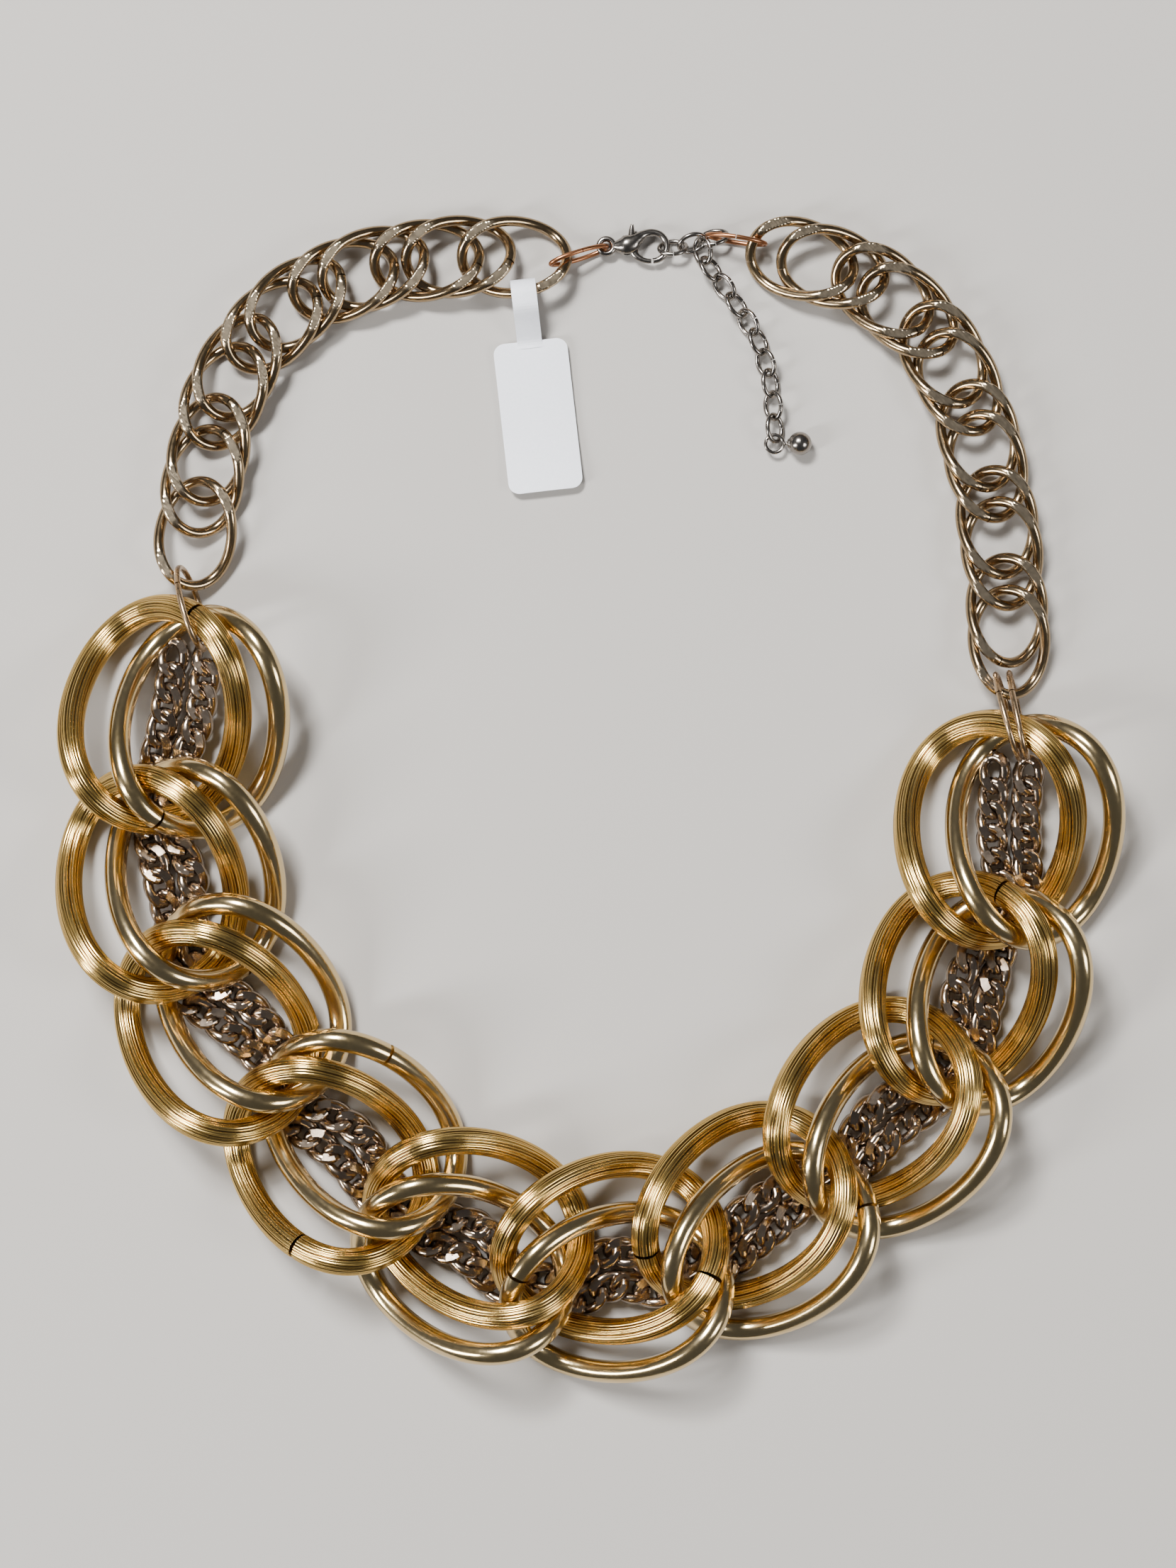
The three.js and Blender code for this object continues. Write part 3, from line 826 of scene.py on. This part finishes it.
def slotted(name, mesh, outline, depth, centre):
    """The mesh with a slot cut through it along the outline, deep across its thickness."""
    cutter = bmesh.new()
    floor = [cutter.verts.new(centre + Vector((x, y, -depth / 2)) * MM) for x, y in outline]
    block = bmesh.ops.extrude_face_region(cutter, geom=[cutter.faces.new(floor)])
    raised = [item for item in block["geom"] if isinstance(item, bmesh.types.BMVert)]
    bmesh.ops.translate(cutter, verts=raised, vec=(0, 0, depth * MM))
    bmesh.ops.recalc_face_normals(cutter, faces=cutter.faces)
    block_mesh = bpy.data.meshes.new(name + "_cutter")
    cutter.to_mesh(block_mesh)
    cutter.free()
    held = bpy.data.objects.new(name + "_blank", mesh)
    tool = bpy.data.objects.new(name + "_tool", block_mesh)
    for thing in (held, tool):
        bpy.context.scene.collection.objects.link(thing)
    cut = held.modifiers.new("slot", "BOOLEAN")
    cut.operation = "DIFFERENCE"
    cut.object = tool
    depsgraph = bpy.context.evaluated_depsgraph_get()
    made = bpy.data.meshes.new_from_object(held.evaluated_get(depsgraph), depsgraph=depsgraph)
    for thing in (held, tool):
        bpy.data.objects.remove(thing)
    made.name = name
    return made


hook_stations = [
    (1.3, 0, 0.75, 0.75), (2.1, 0, 1.2, 1.05), (3.2, 0.1, 1.75, 1.45), (4.3, 0.5, 1.7, 1.45),
    (5.3, 1.25, 1.15, 1.2), (6.3, 1.95, 0.78, 0.85), (7.7, 2.35, 0.6, 0.62), (9.1, 2, 0.56, 0.56),
    (10, 1, 0.55, 0.55), (10.25, -0.3, 0.55, 0.55), (9.8, -1.5, 0.54, 0.54), (8.9, -2.25, 0.52, 0.52),
    (7.9, -2.5, 0.5, 0.5),
]
slot_outline = [(3, 2.9), (3, -2.9), (7.2, -2.9), (7.2, -0.4), (5.3, 0.9), (5.2, 2.9)]
slot_depth = 1.3
hook_bar = lofted("clasp_bar", hook_stations, clasp_eye, pewter)
hook_bar = slotted("clasp_bar_slotted", hook_bar, slot_outline, slot_depth, clasp_eye)
eye_ring = baked("clasp_eye", ring_tree, {
    "Half Length": eye_radius, "Half Width": eye_radius, "Twist": 0.0, "Wire Radius": eye_wire_radius,
    "Seam Turn": math.pi * 2, "Seam Share": 0.0005, "Steps": 48, "Sides": 14, "Material": pewter,
})
eye_ring.transform(Matrix.Translation(clasp_eye))
hook_body = merged("clasp_hook_body", [hook_bar, eye_ring])
add_piece("clasp_hook_body", hook_body, "clasp", "pewter", "clasp_body")

gate_stations = [
    (4.4, 3.7, 0.25, 0.4), (4.3, 2.9, 0.45, 0.42), (4.3, 1.6, 0.62, 0.4), (4.5, 0, 0.85, 0.4),
    (4.9, -1.4, 0.64, 0.42), (5.8, -2.15, 0.5, 0.45), (6.9, -2.5, 0.44, 0.44), (7.65, -2.55, 0.4, 0.4),
]
gate = lofted("clasp_gate", gate_stations, clasp_eye, pewter, sides=16)
add_piece("clasp_gate", gate, "lever", "pewter", "clasp_lever")
for rivet_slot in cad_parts["clasp_rivet"].material_slots:
    rivet_slot.material = pewter

# ---- the extender chain ----
# Fine cable links of dark silver wire, each leaning the other way from the last. One link is held
# by the copper ring, one lies in the hook, and the spare length ends in a ball.
cable_link = {
    "Half Length": 2.3 * MM, "Half Width": 1.75 * MM, "Twist": 0.0, "Wire Radius": 0.4 * MM,
    "Seam Turn": math.radians(90), "Seam Share": 0.012, "Steps": 36, "Sides": 10, "Material": pewter,
}
cable_reach = 2.7 * MM  # from the middle of a link to the outside of its end
cable_lean = 45
upper_low, upper_high = (Vector(corner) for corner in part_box("extender_upper"))
cable_height = (upper_low.z + upper_high.z) / 2


def cable_place(x, y, heading, lean):
    tilt = Matrix.Rotation(math.radians(cable_lean * lean), 4, "X")
    turned = Matrix.Rotation(math.radians(heading), 4, "Z") @ tilt
    return Matrix.Translation((x, y, cable_height)) @ turned


# the link in the copper ring, the next one, the one in the hook, and the one that turns to hang
upper_links = [
    cable_place(upper_high.x - 2.7 * MM, upper_high.y - 1.7 * MM, 192, 1),
    cable_place(upper_low.x + 2.5 * MM, upper_low.y + 3.9 * MM, 198, -1),
    cable_place(upper_low.x - 0.8 * MM, upper_low.y + 3.1 * MM, 184, 1),
    cable_place(upper_low.x + 4.3 * MM, upper_low.y + 2.6 * MM, -80, 1),
]
mesh = chained("extender_upper_links", upper_links, cable_link)
add_piece("extender_upper_links", mesh, "extender_upper", "pewter", "extender_upper")


def run_places(node, count, first_lean):
    """The links of a straight run of the cable chain, found along the run's own length."""
    points = node_points(node)[:, :2]
    middle = points.mean(axis=0)
    way = np.linalg.eigh(np.cov((points - middle).T))[1][:, 1]
    if way[1] > 0:
        way = -way
    along = (points - middle) @ way
    first = along.min() + cable_reach
    spots = []
    for k in range(count):
        at = first + (along.max() - cable_reach - first) * k / (count - 1)
        near = points[np.abs(along - at) < cable_reach]
        spots.append((near.max(axis=0) + near.min(axis=0)) / 2)
    places = []
    for k, spot in enumerate(spots):
        ahead = spots[min(k + 1, count - 1)] - spots[max(k - 1, 0)]
        heading = math.degrees(math.atan2(ahead[1], ahead[0]))
        places.append(cable_place(spot[0], spot[1], heading, first_lean * (1 if k % 2 == 0 else -1)))
    return places


for run, first_lean in (("tail_a", -1), ("tail_b", 1), ("tail_c", -1)):
    node = f"extender_{run}"
    mesh = chained(f"{node}_links", run_places(node, 3, first_lean), cable_link)
    add_piece(f"{node}_links", mesh, run, "pewter", node)

# ---- the ball at the end of the extender ----
# A hollow pressed ball with a raised collar, a short neck and a soldered eye ring.
ball_low, ball_high = (Vector(corner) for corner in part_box("extender_ball"))
ball_radius = 2 * MM
ball_middle = Vector((ball_high.x - ball_radius, (ball_low.y + ball_high.y) / 2, ball_high.z - ball_radius))
eye_from_ball_end = 1.8 * MM
eye_lift = 0.1 * MM
ball_profile = [
    (-2.75, 0.32), (-2.2, 0.34), (-2.05, 0.75), (-1.8, 0.85), (-1.6, 1.2), (-1.2, 1.6), (-0.6, 1.91),
    (-0.12, 1.99), (0.12, 1.99), (0.6, 1.91), (1.2, 1.6), (1.65, 1.13), (1.9, 0.62), (1.99, 0.2),
]
ball_stations = [(along, 0, radius, radius) for along, radius in ball_profile]
ball_body = lofted("ball_body", ball_stations, ball_middle, pewter, sides=32, steps=3)
ball_eye = baked("ball_eye", ring_tree, {
    "Half Length": 1.5 * MM, "Half Width": 1.5 * MM, "Twist": 0.0, "Wire Radius": 0.3 * MM,
    "Seam Turn": 0.0, "Seam Share": 0.004, "Steps": 44, "Sides": 12, "Material": pewter,
})
eye_middle = (ball_low.x + eye_from_ball_end, ball_middle.y, cable_height + eye_lift)
ball_eye.transform(Matrix.Translation(eye_middle))
end_ball = merged("extender_end_ball", [ball_body, ball_eye])
add_piece("extender_end_ball", end_ball, "ball", "pewter", "extender_ball")

# ---- the price tag ----
# White coated card die-cut with rounded corners. Its narrow neck is folded over the chain's last
# ring and stuck down on the back. It is left blank.
card = bpy.data.materials.new("white_coated_card")
card.use_nodes = True
card_tree = card.node_tree
card_shader = card_tree.nodes["Principled BSDF"]
paper = add_nodes(
    card_tree,
    place="ShaderNodeTexCoord",
    fibre="ShaderNodeTexNoise",
    tint="ShaderNodeMix",
    bump="ShaderNodeBump",
    gloss="ShaderNodeMapRange",
)
paper["fibre"].inputs["Scale"].default_value = 2200
paper["fibre"].inputs["Detail"].default_value = 5
card_tree.links.new(paper["place"].outputs["Object"], paper["fibre"].inputs["Vector"])
paper["tint"].data_type = "RGBA"
paper["tint"].inputs[6].default_value = (0.78, 0.8, 0.86, 1)
paper["tint"].inputs[7].default_value = (0.9, 0.91, 0.95, 1)
card_tree.links.new(paper["fibre"].outputs[0], paper["tint"].inputs[0])
card_tree.links.new(paper["tint"].outputs[2], card_shader.inputs["Base Color"])
card_tree.links.new(paper["fibre"].outputs[0], paper["gloss"].inputs["Value"])
paper["gloss"].inputs["To Min"].default_value = 0.42
paper["gloss"].inputs["To Max"].default_value = 0.6
card_tree.links.new(paper["gloss"].outputs[0], card_shader.inputs["Roughness"])
card_tree.links.new(paper["fibre"].outputs[0], paper["bump"].inputs["Height"])
paper["bump"].inputs["Strength"].default_value = 0.15
paper["bump"].inputs["Distance"].default_value = 0.00005
card_tree.links.new(paper["bump"].outputs[0], card_shader.inputs["Normal"])

tag_low, tag_high = (Vector(corner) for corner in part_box("price_tag"))
tag_half_width = 6.3
tag_half_length = 12.8
tag_corner = 1.8
neck_half_width = 2.1
card_thickness = 0.24 * MM
tag_heading = 6.5  # degrees
tag_reach = 13.2 * MM  # from the middle of the card to the low side of the tag's box
tag_turn = Matrix.Rotation(math.radians(tag_heading), 4, "Z")
tag_middle = ((tag_low.x + tag_high.x) / 2, tag_low.y + tag_reach, tag_low.z)
tag_place = Matrix.Translation(tag_middle) @ tag_turn
card_bow = 0.12
card_lift = 0.25
free_end_curl = 0.9
neck_end_curl = 0.27


def card_strip(rows):
    """A strip of card through rows of length along, height and half width, in millimetres."""
    across = 8
    sheet = bmesh.new()
    lines = []
    for along, height, half in rows:
        line = []
        for k in range(across + 1):
            share = 2 * k / across - 1
            bow = card_bow * (1 - share * share)
            line.append(sheet.verts.new(tag_place @ (Vector((share * half, along, height + bow)) * MM)))
        lines.append(line)
    for first, second in zip(lines, lines[1:]):
        for k in range(across):
            sheet.faces.new((first[k], first[k + 1], second[k + 1], second[k]))
    strip = bpy.data.meshes.new("card_strip")
    sheet.to_mesh(strip)
    sheet.free()
    strip.materials.append(card)
    return strip


corner_steps = 7
straight_steps = 9
straight = tag_half_length - tag_corner
corner_turns = [math.radians(90 * step / corner_steps) for step in range(corner_steps)]
outer = [straight + tag_corner * math.cos(turn) for turn in corner_turns]
inner = [straight * (1 - k / straight_steps) for k in range(2 * straight_steps + 1)]
face_rows = []
for along in outer + inner + [-place for place in reversed(outer)]:
    over = max(0, abs(along) - straight)
    half = tag_half_width - tag_corner + math.sqrt(max(0, tag_corner**2 - over**2))
    curl = free_end_curl if along < 0 else neck_end_curl
    face_rows.append((along, card_lift + curl * (along / tag_half_length) ** 2, half))
neck_stops = [
    (11.6, 0.62), (13, 0.95), (15.5, 3.4), (17.7, 5.85), (19.4, 6.35), (21.3, 6.2), (22.6, 5), (22.8, 2.6),
    (22.3, 0.75), (20.5, 0.3), (16, 0.3), (12, 0.2),
]
neck_run = smooth_run([Vector((along, height, 0)) for along, height in neck_stops], 4)
neck_rows = [(spot[0], spot[1], neck_half_width) for spot, _ in neck_run]
tag_mesh = merged("blank_price_tag", [card_strip(face_rows), card_strip(neck_rows)])
tag_piece = add_piece("blank_price_tag", tag_mesh, "tag", "tag_paper", "price_tag")
thickness = tag_piece.modifiers.new("card_thickness", "SOLIDIFY")
thickness.thickness = card_thickness
thickness.offset = 0
